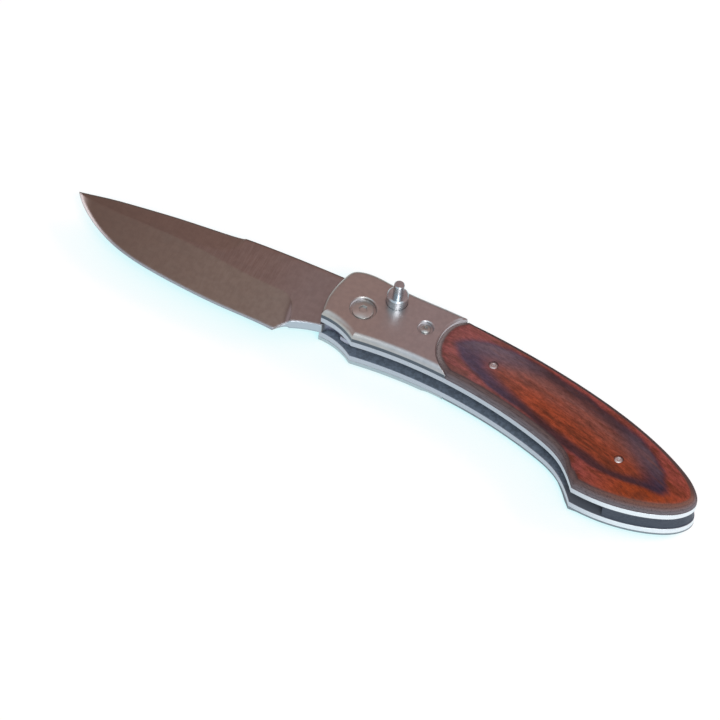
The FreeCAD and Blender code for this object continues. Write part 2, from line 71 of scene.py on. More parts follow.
def addCamera():
    v = photoView
    az, el, roll = (math.radians(v[key]) for key in ("azimuth", "elevation", "roll"))
    back = Vector((math.sin(az) * math.cos(el), -math.cos(az) * math.cos(el), math.sin(el)))
    level = Vector((math.cos(az), math.sin(az), 0))
    rise = back.cross(level)
    right = level * math.cos(roll) + rise * math.sin(roll)
    upward = back.cross(right)
    half = v["imagePixels"] / 2
    across = (v["pivotPixel"][0] - half) / v["focalPixels"]
    above = (half - v["pivotPixel"][1]) / v["focalPixels"]
    target = Vector((pivot.x, pivot.y, coverTop))
    place = target - v["distance"] * (right * across + upward * above - back)
    data = bpy.data.cameras.new("photoCamera")
    data.sensor_width = v["sensorMillimetres"]
    data.lens = v["focalPixels"] / v["imagePixels"] * v["sensorMillimetres"]
    data.clip_start, data.clip_end = v["clip"]
    camera = bpy.data.objects.new("photoCamera", data)
    turn = Matrix((right, upward, back)).transposed().to_4x4()
    camera.matrix_world = Matrix.Translation(place) @ turn
    scene.collection.objects.link(camera)
    scene.camera = camera


addCamera()
print("stage: camera placed")


# Short ways to add shader nodes. A value that is a socket is linked, any other is set.
def feed(tree, socket, value):
    if isinstance(value, bpy.types.NodeSocket):
        tree.links.new(value, socket)
    else:
        socket.default_value = value


def put(tree, kind, sockets=None, **settings):
    made = tree.nodes.new(kind)
    for key, value in settings.items():
        setattr(made, key, value)
    for key, value in (sockets or {}).items():
        feed(tree, made.inputs[key], value)
    return made


def calc(tree, operation, *terms):
    made = put(tree, "ShaderNodeMath", dict(enumerate(terms)), operation=operation)
    return made.outputs[0]


def product(tree, first, *others):
    for other in others:
        first = calc(tree, "MULTIPLY", first, other)
    return first


def weigh(tree, first, second, shares):  # sum of the two, each times its share
    return calc(tree, "MULTIPLY_ADD", first, shares[0], calc(tree, "MULTIPLY", second, shares[1]))


def vectorCalc(tree, operation, *terms, outlet="Vector"):
    made = put(tree, "ShaderNodeVectorMath", dict(enumerate(terms)), operation=operation)
    return made.outputs[outlet]


def stretch(tree, vector, scale):
    return vectorCalc(tree, "MULTIPLY", vector, scale)


def levelLength(tree, vector):  # its length in plan
    return vectorCalc(tree, "LENGTH", stretch(tree, vector, (1, 1, 0)), outlet="Value")


def smooth(tree, value, low, high):  # eased from 0 at low to 1 at high
    sockets = {"Value": value, "From Min": low, "From Max": high}
    made = put(tree, "ShaderNodeMapRange", sockets, interpolation_type="SMOOTHSTEP")
    return made.outputs["Result"]


def between(tree, share, low, high):  # low at 0, high at 1
    sockets = {"Value": share, "To Min": low, "To Max": high}
    return put(tree, "ShaderNodeMapRange", sockets).outputs["Result"]


def blend(tree, share, first, second, mode="MIX"):
    made = put(tree, "ShaderNodeMix", data_type="RGBA", blend_type=mode)
    for index, value in ((0, share), (6, first), (7, second)):
        full = (*value, 1) if isinstance(value, tuple) else value
        feed(tree, made.inputs[index], full)
    return made.outputs[2]


def tint(tree, colour, other, mask, share):  # turned towards the other colour by a share of the mask
    return blend(tree, calc(tree, "MULTIPLY", mask, share), colour, other)


def noise(tree, vector, scale, detail=2.0, rough=0.5):
    sockets = {"Vector": vector, "Scale": scale, "Detail": detail, "Roughness": rough}
    return put(tree, "ShaderNodeTexNoise", sockets).outputs["Fac"]


def splitVector(tree, vector):
    return put(tree, "ShaderNodeSeparateXYZ", {0: vector}).outputs


def newGroup(name, inlets, values, normals=()):
    tree = bpy.data.node_groups.new(name, "ShaderNodeTree")
    for label, kind, value in inlets:
        socket = tree.interface.new_socket(label, in_out="INPUT", socket_type=kind)
        socket.default_value = value
    for label in values:
        tree.interface.new_socket(label, in_out="OUTPUT", socket_type="NodeSocketFloat")
    for label in normals:
        tree.interface.new_socket(label, in_out="OUTPUT", socket_type="NodeSocketVector")
    return tree, tree.nodes.new("NodeGroupInput").outputs, tree.nodes.new("NodeGroupOutput").inputs


def useGroup(tree, group, sockets):
    made = put(tree, "ShaderNodeGroup", node_tree=group)
    for key, value in sockets.items():
        feed(tree, made.inputs[key], value)
    return made.outputs


# Effects that several finishes share. Lengths going in are millimetres.
effects = {
    "fineLines": 3.7,  # fineness of the fine grind lines to the broad ones
    "lineShares": (0.6, 0.4),  # broad and fine lines in the colour
    "lineHeights": (0.7, 0.3),  # fine and broad lines in the height
    "fineSmears": 4.3,  # fineness of the smears to the clouds
    "cloudRange": (0.3, 0.7),
    "smearRange": (0.45, 0.75),
    "rubs": 1.3,  # breaks in a worn edge, per millimetre
    "rubShares": (0.5, 1.2),
    "turnRange": (0.01, 0.12),  # 1 less the cosine between a face and its eased normal
    "edgeSamples": 4,
    "ringBends": 0.9,  # per millimetre
    "ringUneven": 5.0,  # radians
    "ringHeights": (0.5, 1.0),
    "deepRange": (0.75, 0.25),  # share of the open that a point sees
    "deepSamples": 8,
}


def makeGrindLines():
    # noise drawn out along one direction, in two finenesses, as a belt leaves steel
    v = effects
    tree, inlet, outlet = newGroup("grindLines", [
        ("Vector", "NodeSocketVector", (0, 0, 0)),
        ("Run", "NodeSocketVector", (0.1, 4.0, 4.0)),
    ], ["Lines", "Height"])
    drawn = stretch(tree, inlet["Vector"], inlet["Run"])
    broad = noise(tree, drawn, 1.0, detail=3.0, rough=0.6)
    fine = noise(tree, drawn, v["fineLines"])
    feed(tree, outlet["Lines"], weigh(tree, broad, fine, v["lineShares"]))
    feed(tree, outlet["Height"], weigh(tree, fine, broad, v["lineHeights"]))
    return tree


def makeHandling():
    # wide soft clouds with smaller smears in them, as handling leaves on a surface
    v = effects
    tree, inlet, outlet = newGroup("handling", [
        ("Vector", "NodeSocketVector", (0, 0, 0)),
        ("Size", "NodeSocketFloat", 12.0),
    ], ["Clouds", "Smears"])
    perMillimetre = calc(tree, "DIVIDE", 1.0, inlet["Size"])
    closer = calc(tree, "MULTIPLY", perMillimetre, v["fineSmears"])
    clouds = noise(tree, inlet["Vector"], perMillimetre, rough=0.55)
    smears = noise(tree, inlet["Vector"], closer, detail=4.0, rough=0.6)
    feed(tree, outlet["Clouds"], smooth(tree, clouds, *v["cloudRange"]))
    feed(tree, outlet["Smears"], smooth(tree, smears, *v["smearRange"]))
    return tree


def makeEdgeWear():
    # 1 where a face turns within the radius, broken up by noise, and the normal eased over that turn
    v = effects
    tree, inlet, outlet = newGroup("edgeWear", [
        ("Vector", "NodeSocketVector", (0, 0, 0)),
        ("Radius", "NodeSocketFloat", 0.15),
    ], ["Edge"], ["Soft"])
    metres = calc(tree, "DIVIDE", inlet["Radius"], perMetre)
    bevel = put(tree, "ShaderNodeBevel", {"Radius": metres}, samples=v["edgeSamples"]).outputs["Normal"]
    plain = tree.nodes.new("ShaderNodeNewGeometry").outputs["Normal"]
    cosine = vectorCalc(tree, "DOT_PRODUCT", bevel, plain, outlet="Value")
    turned = smooth(tree, calc(tree, "SUBTRACT", 1.0, cosine), *v["turnRange"])
    rubbed = between(tree, noise(tree, inlet["Vector"], v["rubs"], detail=3.0), *v["rubShares"])
    feed(tree, outlet["Edge"], product(tree, turned, rubbed))
    feed(tree, outlet["Soft"], bevel)
    return tree


def makeTurnedRings():
    # height = upper half of sin(distance from the axis / pitch), a little uneven, as a lathe leaves
    v = effects
    tree, inlet, outlet = newGroup("turnedRings", [
        ("Vector", "NodeSocketVector", (0, 0, 0)),
        ("Centre", "NodeSocketVector", (0, 0, 0)),
        ("Pitch", "NodeSocketFloat", 0.12),
    ], ["Rings", "Away"])
    offset = vectorCalc(tree, "SUBTRACT", inlet["Vector"], inlet["Centre"])
    away = levelLength(tree, offset)
    steps = calc(tree, "DIVIDE", calc(tree, "MULTIPLY", away, 2 * math.pi), inlet["Pitch"])
    uneven = calc(tree, "MULTIPLY", noise(tree, inlet["Vector"], v["ringBends"]), v["ringUneven"])
    wave = calc(tree, "SINE", calc(tree, "ADD", steps, uneven))
    feed(tree, outlet["Rings"], between(tree, wave, *v["ringHeights"]))
    feed(tree, outlet["Away"], away)
    return tree


def makeCrevice():
    # 1 deep in wells, sockets and seams, 0 in the open, by ambient occlusion: the mask for painted shade
    v = effects
    tree, inlet, outlet = newGroup("crevice", [("Reach", "NodeSocketFloat", 1.0)], ["Deep"])
    metres = calc(tree, "DIVIDE", inlet["Reach"], perMetre)
    settings = {"samples": v["deepSamples"], "only_local": True}
    shade = put(tree, "ShaderNodeAmbientOcclusion", {"Distance": metres}, **settings)
    feed(tree, outlet["Deep"], smooth(tree, shade.outputs["AO"], *v["deepRange"]))
    return tree


grindLines = makeGrindLines()
handling = makeHandling()
edgeWear = makeEdgeWear()
turnedRings = makeTurnedRings()
crevice = makeCrevice()
print("stage: shared effects made")


class Finish:  # a material with its Principled shader and its coordinates in millimetres
    def __init__(self, name, **constants):
        self.material = bpy.data.materials.new(name)
        self.material.use_nodes = True
        self.tree = self.material.node_tree
        self.shader = self.tree.nodes["Principled BSDF"]
        for label, value in constants.items():
            self.shader.inputs[label.replace("_", " ")].default_value = value
        outlets = self.tree.nodes.new("ShaderNodeTexCoord").outputs
        self.place = stretch(self.tree, outlets["Object"], (perMetre, perMetre, perMetre))
        self.axes = splitVector(self.tree, self.place)
        self.facing = splitVector(self.tree, outlets["Normal"])
        offset = calc(self.tree, "SUBTRACT", self.axes["Z"], middleLevel)
        self.above = smooth(self.tree, offset, -1.0, 1.0)  # 1 on the upper half of the knife
        self.fromMiddle = calc(self.tree, "ABSOLUTE", offset)
        self.depth = calc(self.tree, "SUBTRACT", coverReach, self.fromMiddle)  # below the covers' faces

    def lines(self, run):
        return useGroup(self.tree, grindLines, {"Vector": self.place, "Run": run})

    def handled(self, size):
        return useGroup(self.tree, handling, {"Vector": self.place, "Size": size})

    def worn(self, radius):
        return useGroup(self.tree, edgeWear, {"Vector": self.place, "Radius": radius})

    # painted shade in wells, sockets and seams, from ambient occlusion
    def deep(self, reach):
        return useGroup(self.tree, crevice, {"Reach": reach})["Deep"]

    def along(self, ends):  # 0 at the first place along the knife, 1 at the second
        return smooth(self.tree, self.axes["X"], *ends)

    def looking(self, axis, ends):  # the same between two values of the normal on one axis
        return smooth(self.tree, self.facing[axis], *ends)

    def ownNormal(self, normal):  # a normal in the piece's own axes
        settings = {"vector_type": "NORMAL", "convert_from": "WORLD", "convert_to": "OBJECT"}
        made = put(self.tree, "ShaderNodeVectorTransform", {"Vector": normal}, **settings)
        return made.outputs["Vector"]

    def set(self, label, value):
        feed(self.tree, self.shader.inputs[label], value)

    def bump(self, height, strength, distance, normal=None):
        sockets = {"Strength": strength, "Distance": distance / perMetre, "Height": height}
        if normal is not None:
            sockets["Normal"] = normal
        self.set("Normal", put(self.tree, "ShaderNodeBump", sockets).outputs["Normal"])


bladeFinish = {
    "steel": (0.383, 0.335, 0.312),
    "shade": (0.3, 0.247, 0.228),
    "ground": (0.375, 0.38, 0.32),  # the wide bevel down to the edge
    "swedge": (0.35, 0.268, 0.23),
    "ricasso": (0.43, 0.425, 0.44),  # paler by the handle
    "plunge": (0.19, 0.165, 0.16),  # painted shade where the bevel runs out
    "wall": (0.52, 0.555, 0.61),  # painted reflection: pale bluish steel on the choil, on walls square to the faces that look towards -Y
    "wallTang": (0.42, 0.41, 0.5),  # the same painted reflection on the tang
    "tip": (0.225, 0.18, 0.15),  # the steel darkens towards the point
    # painted shade along the spine, and the colour of dark specks on the blade
    "spine": (0.15, 0.13, 0.125),
    "edge": (0.44, 0.445, 0.48),
    "edgeTip": (0.95, 0.87, 0.86),  # painted highlight: the honed edge near white and less metallic at the tip
    "ricassoFrom": (-84.0, -64.0),  # places along the knife, where it starts and where it is full
    "plungeFrom": (-80.0, -76.0),
    "wallTangFrom": (-59.5, -57.5),
    "tipFrom": (-80.0, -136.0),
    "edgeTipFrom": (-118.0, -132.0),
    "groundLean": (-0.02, -0.1),  # of the eased normal, towards the edge
    "swedgeLean": (0.0, 0.125),  # towards the back
    "spineLean": (0.16, 0.36),
    "honedLean": (0.2, 0.36),  # its whole lean from upright
    "honedUp": (0.5, 0.8),
    "offWall": (-0.5, -0.3),  # of the plain normal
    "onWall": (-0.5, -0.75),
    "offSpine": (0.5, 0.3),
    "onSpine": (0.6, 0.9),
    "plungeAhead": (-0.05, -0.2),
    "plungeUp": (0.4, 0.7),
    "cloudShare": 0.35,
    "speckShare": 0.16,
    "ricassoShare": 0.6,
    "groundShare": 0.5,
    "tipShare": 0.8,
    "swedgeShares": (0.6, 0.2),  # at the rear and at the tip
    "spineShare": 0.85,
    "plungeShare": 0.7,
    "wearShare": 0.3,
    "cloudSize": 14.0,
    "speckSize": 1.6,
    "wearRadius": 0.2,
    "ease": 0.9,  # how far the grinds run into each other
    "swedgeEase": 2.0,
    "run": (2.2, 0.1, 2.2),  # lines stand across the blade, from edge to spine
    "lineRange": (0.25, 0.75),
    "metal": (1.0, 0.15),  # and on the honed edge at the tip, under its painted highlight
    "roughShares": (0.35, 0.65),  # smears and lines
    "rough": (0.3, 0.42),
    "bump": (0.12, 0.02),
}


def bladeSteel():
    v = bladeFinish
    f = Finish("bladeSteel")
    t = f.tree
    lines = f.lines(v["run"])
    touched = f.handled(v["cloudSize"])
    specks = f.handled(v["speckSize"])
    wear = f.worn(v["wearRadius"])
    wide = f.worn(v["ease"])["Soft"]
    wideOwn = f.ownNormal(wide)
    lean = splitVector(t, wideOwn)["Y"]
    wider = f.ownNormal(f.worn(v["swedgeEase"])["Soft"])
    colour = blend(t, smooth(t, lines["Lines"], *v["lineRange"]), v["shade"], v["steel"])
    colour = tint(t, colour, v["shade"], touched["Clouds"], v["cloudShare"])
    colour = tint(t, colour, v["ricasso"], f.along(v["ricassoFrom"]), v["ricassoShare"])
    towardEdge = smooth(t, lean, *v["groundLean"])
    ground = product(t, towardEdge, f.looking("Y", v["offWall"]))
    colour = tint(t, colour, v["ground"], ground, v["groundShare"])
    toTip = f.along(v["tipFrom"])
    colour = tint(t, colour, v["tip"], toTip, v["tipShare"])
    swedge = smooth(t, splitVector(t, wider)["Y"], *v["swedgeLean"])
    swedge = product(t, swedge, f.looking("Y", v["offSpine"]))
    colour = tint(t, colour, v["swedge"], swedge, between(t, toTip, *v["swedgeShares"]))
    colour = tint(t, colour, v["spine"], specks["Clouds"], v["speckShare"])
    # painted shade along the spine: where the eased normal leans back, and on its face
    colour = tint(t, colour, v["spine"], smooth(t, lean, *v["spineLean"]), v["spineShare"])
    colour = blend(t, f.looking("Y", v["onSpine"]), colour, v["spine"])
    # painted shade on the facets where the bevel runs out
    plunge = product(t, f.looking("X", v["plungeAhead"]), f.looking("Z", v["plungeUp"]))
    plunge = product(t, plunge, f.along(v["plungeFrom"]))
    colour = tint(t, colour, v["plunge"], plunge, v["plungeShare"])
    honed = smooth(t, levelLength(t, wideOwn), *v["honedLean"])
    honed = product(t, honed, f.looking("Z", v["honedUp"]), towardEdge)
    # painted highlight on the honed edge near the tip
    atTip = f.along(v["edgeTipFrom"])
    colour = blend(t, honed, colour, blend(t, atTip, v["edge"], v["edgeTip"]))
    # painted reflection of the table on the walls facing -Y
    wall = blend(t, f.along(v["wallTangFrom"]), v["wall"], v["wallTang"])
    colour = blend(t, f.looking("Y", v["onWall"]), colour, wall)
    f.set("Base Color", tint(t, colour, v["edge"], wear["Edge"], v["wearShare"]))
    f.set("Metallic", between(t, product(t, honed, atTip), *v["metal"]))
    uneven = weigh(t, touched["Smears"], lines["Lines"], v["roughShares"])
    f.set("Roughness", between(t, uneven, *v["rough"]))
    f.bump(lines["Height"], *v["bump"], normal=wide)
    return f.material


bolsterFinish = {
    "steel": (0.56, 0.545, 0.56),
    "shade": (0.455, 0.44, 0.45),
    "side": (0.11, 0.125, 0.15),  # painted shade on the upper bolster's side wall and in its hollows; also the colour of dark specks
    "sidePale": (0.47, 0.53, 0.56),  # painted reflection of the table on the lower bolster's side wall
    "edge": (0.72, 0.72, 0.75),
    "front": (0.5, 0.46, 0.43),  # browner towards the blade
    "joint": (0.7, 0.68, 0.72),  # painted highlight: pale, barely metallic colour on the wall above the scale's front
    "frontFrom": (-30.0, -54.0),
    "sideDepth": (1.62, 1.8),  # below the outer face, where the round ends
    "sideUnder": (0.5, 0.2),  # of the normal, off the upper and the lower faces
    "sideOver": (-0.5, -0.2),
    "jointDepth": (2.4, 2.0),
    "jointUpright": (0.5, 0.3),
    "jointBack": (0.2, 0.5),
    "cloudShare": 0.3,
    "frontShare": 0.85,
    "speckShare": 0.12,
    "deepShare": 0.3,
    "wearShare": 0.4,
    "cloudSize": 9.0,
    "speckSize": 1.3,
    "wearRadius": 0.25,
    "deepReach": 1.2,
    "run": (5.0, 0.25, 5.0),
    "metal": (1.0, 0.1),  # and on the joint's wall, under its painted highlight
    "roughShares": (0.4, 0.6),
    "rough": (0.3, 0.42),
    "bump": (0.1, 0.02),
}


def bolsterSteel():
    v = bolsterFinish
    f = Finish("bolsterSteel")
    t = f.tree
    lines = f.lines(v["run"])
    touched = f.handled(v["cloudSize"])
    specks = f.handled(v["speckSize"])
    wear = f.worn(v["wearRadius"])
    colour = blend(t, lines["Lines"], v["shade"], v["steel"])
    colour = tint(t, colour, v["shade"], touched["Clouds"], v["cloudShare"])
    colour = tint(t, colour, v["front"], f.along(v["frontFrom"]), v["frontShare"])
    colour = tint(t, colour, v["side"], specks["Clouds"], v["speckShare"])
    # painted shade on the upper side wall, painted reflection of the table on the lower one
    side = product(t, f.looking("Z", v["sideUnder"]), f.looking("Z", v["sideOver"]))
    side = product(t, side, smooth(t, f.depth, *v["sideDepth"]))
    colour = blend(t, side, colour, blend(t, f.above, v["sidePale"], v["side"]))
    # painted shade in hollows and seams
    colour = tint(t, colour, v["side"], f.deep(v["deepReach"]), v["deepShare"])
    colour = tint(t, colour, v["edge"], wear["Edge"], v["wearShare"])
    # painted highlight on the wall above the scale's front
    joint = product(t, f.looking("Z", v["jointUpright"]), f.looking("X", v["jointBack"]))
    joint = product(t, joint, smooth(t, f.depth, *v["jointDepth"]))
    f.set("Base Color", blend(t, joint, colour, v["joint"]))
    f.set("Metallic", between(t, joint, *v["metal"]))
    uneven = weigh(t, touched["Smears"], lines["Lines"], v["roughShares"])
    f.set("Roughness", between(t, uneven, *v["rough"]))
    f.bump(lines["Height"], *v["bump"], normal=wear["Soft"])
    return f.material


linerFinish = {
    "edge": (0.61, 0.615, 0.665),
    "edgeShade": (0.485, 0.5, 0.56),
    "polished": (0.95, 0.96, 1.0),  # painted highlight on the edges round the butt
    "inside": (0.155, 0.195, 0.25),  # painted shade, mottled, on the faces that the blade folds between
    "insideShade": (0.095, 0.12, 0.155),
    "insideRear": (0.095, 0.108, 0.13),  # darker painted shade beside the backspacer
    "polishedFrom": (18.0, 40.0),
    "insideRearFrom": (19.0, 22.5),
    "edgeUnder": (0.9, 0.6),  # of the normal, off the upper and the lower faces
    "edgeOver": (-0.9, -0.6),
    "cloudShare": 0.4,
    "polishedShare": 0.85,
    "cloudSize": 7.0,
    "blastSize": 0.9,
    "wearRadius": 0.2,
    "run": (0.3, 0.3, 7.0),  # drawn along the plate's edge
    "roughShares": (0.4, 0.6),
    "rough": (0.24, 0.36),
    "roughInside": 0.6,
    "bump": (0.1, 0.015),
}


def linerSteel():
    v = linerFinish
    f = Finish("linerSteel")
    t = f.tree
    lines = f.lines(v["run"])
    touched = f.handled(v["cloudSize"])
    blasted = f.handled(v["blastSize"])
    onEdge = product(t, f.looking("Z", v["edgeUnder"]), f.looking("Z", v["edgeOver"]))
    bright = blend(t, lines["Lines"], v["edgeShade"], v["edge"])
    bright = tint(t, bright, v["edgeShade"], touched["Clouds"], v["cloudShare"])
    # painted highlight on the edges round the butt
    bright = tint(t, bright, v["polished"], f.along(v["polishedFrom"]), v["polishedShare"])
    # painted shade on the inner faces, darker at the rear
    dull = blend(t, blasted["Clouds"], v["inside"], v["insideShade"])
    dull = blend(t, f.along(v["insideRearFrom"]), dull, v["insideRear"])
    f.set("Base Color", blend(t, onEdge, dull, bright))
    f.set("Metallic", onEdge)
    uneven = weigh(t, touched["Smears"], lines["Lines"], v["roughShares"])
    f.set("Roughness", between(t, onEdge, v["roughInside"], between(t, uneven, *v["rough"])))
    f.bump(lines["Height"], *v["bump"], normal=f.worn(v["wearRadius"])["Soft"])
    return f.material


turnedMarks = {
    "dents": 8.0,  # per millimetre, where there are no rings
    "pitch": 0.13,
    "ringsWithin": (6.0, 5.0),  # of their axis
    "cloudSize": 3.0,
    "deepShare": 0.6,
    "wearShare": 0.15,
}

screwFinish = {
    "steel": (0.6, 0.6, 0.58),
    "shade": (0.48, 0.48, 0.465),
    # painted shade in the socket and the well round the head
    "socket": (0.16, 0.15, 0.15),
    "worn": (0.85, 0.84, 0.83),
    "deepReach": 0.9,
    "wearRadius": 0.28,
    "rough": (0.3, 0.4),
    "bump": (0.05, 0.01),
}

smallScrewFinish = {
    "steel": (0.74, 0.68, 0.67),
    "shade": (0.6, 0.53, 0.53),
    # painted shade in the socket and the well round the head
    "socket": (0.24, 0.2, 0.19),
    "worn": (0.9, 0.84, 0.82),
    "deepReach": 0.12,
    "wearRadius": 0.3,
    "rough": (0.4, 0.48),
    "bump": (0.03, 0.01),
}

buttonFinish = {
    "steel": (0.53, 0.57, 0.6),
    "shade": (0.41, 0.44, 0.47),
    # painted shade in the socket and round the collar
    "socket": (0.2, 0.19, 0.19),
    "worn": (0.85, 0.85, 0.86),
    "deepReach": 0.8,
    "wearRadius": 0.15,
    "rough": (0.22, 0.34),
    "bump": (0.12, 0.012),
}


def turnedSteel(name, v, *ringed):  # with rings round the middle of each ringed node
    marks = turnedMarks
    f = Finish(name, Metallic=1.0)
    t = f.tree
    rings = noise(t, f.place, marks["dents"])
    for node in ringed:
        centre = tuple(sum(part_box(node), Vector()) / 2 * perMetre)
        sockets = {"Vector": f.place, "Centre": centre, "Pitch": marks["pitch"]}
        one = useGroup(t, turnedRings, sockets)
        near = smooth(t, one["Away"], *marks["ringsWithin"])
        rings = calc(t, "MAXIMUM", rings, product(t, one["Rings"], near))
    touched = f.handled(marks["cloudSize"])
    wear = f.worn(v["wearRadius"])
    colour = blend(t, touched["Clouds"], v["steel"], v["shade"])
    # painted shade in sockets and wells, towards the socket colour
    colour = tint(t, colour, v["socket"], f.deep(v["deepReach"]), marks["deepShare"])
    f.set("Base Color", tint(t, colour, v["worn"], wear["Edge"], marks["wearShare"]))
    f.set("Roughness", between(t, touched["Smears"], *v["rough"]))
    f.bump(rings, *v["bump"], normal=wear["Soft"])
    return f.material


drawnMarks = {"cloudSize": 2.5, "dents": 6.0, "bump": (0.1, 0.01)}
springFinish = {"bright": (0.45, 0.45, 0.47), "dull": (0.3, 0.3, 0.31), "rough": (0.22, 0.35)}
washerFinish = {"bright": (0.62, 0.42, 0.2), "dull": (0.45, 0.28, 0.12), "rough": (0.3, 0.45)}


def drawnMetal(name, v):
    marks = drawnMarks
    f = Finish(name, Metallic=1.0)
    t = f.tree
    touched = f.handled(marks["cloudSize"])
    f.set("Base Color", blend(t, touched["Clouds"], v["bright"], v["dull"]))
    f.set("Roughness", between(t, touched["Smears"], *v["rough"]))
    f.bump(noise(t, f.place, marks["dents"], detail=3.0), *marks["bump"])
    return f.material


spacerFinish = {
    "black": (0.036, 0.046, 0.066),
    "grey": (0.064, 0.076, 0.1),
    "grainRange": (0.35, 0.7),
    "cloudShare": 0.3,
    "cloudSize": 8.0,
    "run": (1.2, 1.2, 3.0),
    "shine": 0.2,
    "rough": (0.45, 0.65),
    "bump": (0.35, 0.03),
}


def spacerBlack():
    v = spacerFinish
    f = Finish("spacerBlack", Specular_IOR_Level=v["shine"])
    t = f.tree
    lines = f.lines(v["run"])
    touched = f.handled(v["cloudSize"])
    colour = blend(t, smooth(t, lines["Lines"], *v["grainRange"]), v["black"], v["grey"])
    f.set("Base Color", tint(t, colour, v["grey"], touched["Clouds"], v["cloudShare"]))
    f.set("Roughness", between(t, touched["Smears"], *v["rough"]))
    f.bump(lines["Height"], *v["bump"])
    return f.material


# Places in the wood's figure are shares of the dark oval: Along is -1 at its front end and 1 at its
# rear end, Across is -1 on its belly side and 1 at the back, and Reach is 1 on its outline.
woodFinish = {
    "heart": (0.3, 0.057, 0.024),  # orange-brown middle
    "heartDull": (0.115, 0.028, 0.014),
    "haze": (0.18, 0.068, 0.056),  # browner towards the back, partly a painted sheen
    "ring": (0.028, 0.024, 0.058),  # dark oval, with a painted bluish sheen at the front
    "ringWarm": (0.03, 0.018, 0.025),
    "outer": (0.235, 0.055, 0.047),
    "outerWarm": (0.24, 0.043, 0.013),  # towards the butt's underside
    "bloom": (0.2, 0.135, 0.145),  # painted pale sheen towards the front
    "pore": (0.022, 0.008, 0.008),
    "middle": (12.8, -3.6),  # of the oval
    "half": (33.5, 8.3),  # half length and half width of the oval
    "lean": -0.262,  # fall of the oval's long line for its run
    "bend": -0.0016,  # and its curve, per millimetre
    "powers": (3.2, 2.0),  # of the oval's length and width, for its blunt ends
    "wobble": 0.38,  # of its outline
    "lowerShares": (0.79, 1.07),  # of the half width below the long line, front and rear
    "lowerAlong": (-0.35, 0.25),
    "endShares": (1.0, 0.62),  # and drawn in at the rear end
    "endAlong": (0.4, 1.0),
    "upperAcross": (-0.35, 0.6),
    "frontAlong": (-0.2, -0.75),
    "rearAlong": (0.3, 0.8),
    "rearAcross": (-0.75, 0.0),
    "bellyAlong": (0.75, 0.25),
    "bellyAcross": (0.0, -0.6),
    "ringInner": 0.78,  # reach where the oval's band starts
    "ringWider": {"upper": -0.42, "belly": -0.2, "front": -0.26, "rear": -0.24},  # added to it there
    "ringFull": (0.95, 0.86),  # reach where it is darkest, elsewhere and at the front
    "ringOuter": (1.18, 1.0),
    "ringMottle": (0.7, 1.15),
    "ringMost": (0.86, 1.0),  # and at both ends
    "ringBlueRear": 0.45,
    "livelyShares": (0.5, 0.5),  # mottle and streaks
    "livelyRange": (0.38, 0.62),
    "dullAlong": (0.15, 0.75),
    "dullShare": 0.45,
    "hazeStreaks": (0.35, 0.65),
    "hazeShares": (0.45, 0.95),
    "warmAlong": (0.2, 0.8),
    "warmAcross": (1.3, -0.6),
    "outerReach": (0.92, 1.06),
    "outerMottle": (0.56, 0.36),
    "outerShare": 0.75,
    "strandShares": (0.45, 0.55),  # mottle and streaks
    "strandRange": (0.5, 0.33),
    "strandShare": 0.5,
    "poreRange": (0.5, 0.7),
    "poreShare": 0.42,
    "speckRange": (0.45, 0.75),
    "speckShare": 0.35,
    "filmAlong": (-0.1, -0.95),
    "filmShare": 0.2,
    "filmFront": (0.05, 0.34),  # of the painted sheen towards the back
    "filmRear": 0.24,
    "filmReach": (1.1, 0.95),
    "filmAcross": (-0.2, 0.7),
    "toneRange": (0.28, 0.72),
    "tones": (0.74, 1.24),
    "marks": {  # noise along the grain: steps per millimetre along, across and down, detail, roughness
        "wobble": ((0.06, 0.16, 0.16), 4.0, 0.55),
        "streaks": ((0.06, 0.8, 0.8), 5.0, 0.7),
        "mottle": ((0.16, 0.5, 0.5), 4.0, 0.65),
        "pores": ((0.4, 4.5, 4.5), 3.0, 0.65),
        "specks": ((1.6, 5.0, 5.0), 2.0, 0.6),
        "patches": ((0.45, 1.2, 1.2), 5.0, 0.75),
    },
    "rimDepth": (0.35, 0.75),  # below the outer face
    "coat": (0.25, 0.02),  # oil on the face and on the rim
    "rough": (0.36, 0.5),
    "bumpPores": (0.5, 0.75),
    "bump": (0.15, 0.03),
}


def woodGrain(f):
    # along and across the handle's bent long line: across = y - (y0 + lean*dx + bend*dx^2)
    v = woodFinish
    t = f.tree
    along = calc(t, "SUBTRACT", f.axes["X"], v["middle"][0])
    sag = calc(t, "MULTIPLY", along, calc(t, "MULTIPLY_ADD", along, v["bend"], v["lean"]))
    across = calc(t, "SUBTRACT", calc(t, "SUBTRACT", f.axes["Y"], v["middle"][1]), sag)
    grain = put(t, "ShaderNodeCombineXYZ", {"X": along, "Y": across, "Z": f.fromMiddle}).outputs[0]
    marks = {}
    for name, (steps, detail, rough) in v["marks"].items():
        marks[name] = noise(t, stretch(t, grain, steps), 1.0, detail, rough)
    return calc(t, "DIVIDE", along, v["half"][0]), calc(t, "DIVIDE", across, v["half"][1]), marks


def ovalReach(t, along, across, wobble):
    # root of the sum of along and across, each to its power, where the lower half is wider towards the
    # butt and drawn in at the end, and the grain makes the outline wander
    v = woodFinish
    swell = between(t, smooth(t, along, *v["lowerAlong"]), *v["lowerShares"])
    swell = product(t, swell, between(t, smooth(t, along, *v["endAlong"]), *v["endShares"]))
    below = calc(t, "MULTIPLY", calc(t, "DIVIDE", across, swell), -1.0)
    lengthwise = calc(t, "POWER", calc(t, "ABSOLUTE", along), v["powers"][0])
    crosswise = calc(t, "POWER", calc(t, "MAXIMUM", across, below), v["powers"][1])
    uneven = calc(t, "MULTIPLY", calc(t, "SUBTRACT", wobble, 0.5), v["wobble"])
    return calc(t, "ADD", calc(t, "SQRT", calc(t, "ADD", lengthwise, crosswise)), uneven)


